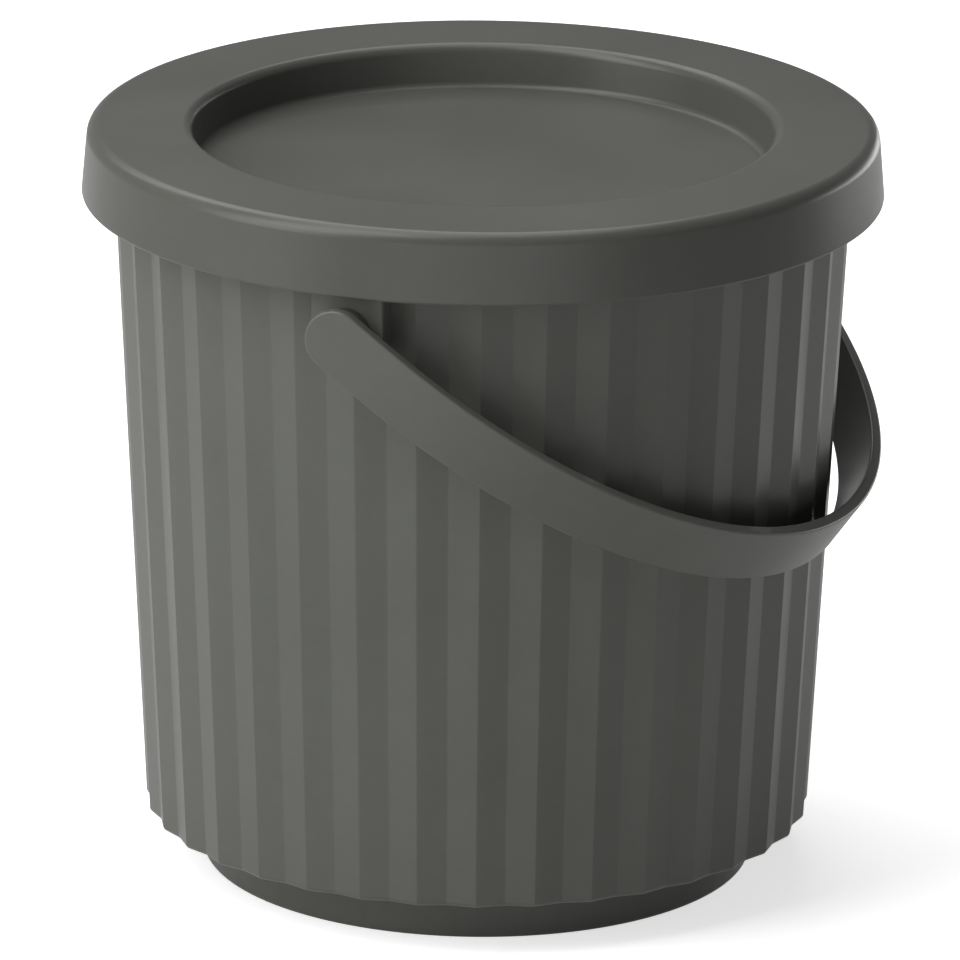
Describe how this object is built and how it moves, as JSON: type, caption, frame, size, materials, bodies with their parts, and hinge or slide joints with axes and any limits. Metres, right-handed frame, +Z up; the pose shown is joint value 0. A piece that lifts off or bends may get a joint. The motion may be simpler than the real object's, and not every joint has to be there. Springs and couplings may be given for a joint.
{
  "type": "waste bin",
  "caption": "Round pleated waste bin with a lift-off lid that has a dished top, and a strap handle that swings on pins at the sides.",
  "frame": {"origin": "centre of the foot's flat underside, on the bucket's axis", "axes": "+Z up along the bucket's axis, Y along the handle's pivots, +X towards the resting handle"},
  "size_m": [0.2398, 0.2496, 0.2285],
  "materials": {
    "bucket": "satin moulded polypropylene, warm dark grey",
    "lid": "satin moulded polypropylene, warm dark grey",
    "handle": "satin moulded polypropylene, warm dark grey",
    "pivot_pin": "satin moulded plastic, dark grey"
  },
  "bodies": {
    "bucket": {"bucket": "bucket"},
    "lid": {"lid": "lid"},
    "handle": {"handle": "handle", "front_pivot_pin": "pivot_pin", "rear_pivot_pin": "pivot_pin"}
  },
  "joints": [
    {"name": "handle_swing", "type": "hinge", "parent": "bucket", "child": "handle", "pos_m": [0, 0, 0.1956], "axis": [0, -1, 0], "range_deg": [0, 251]},
    {"name": "lid_lift", "type": "slide", "parent": "bucket", "child": "lid", "axis": [0, 0, 1], "range_m": [0, 0.12]}
  ]
}
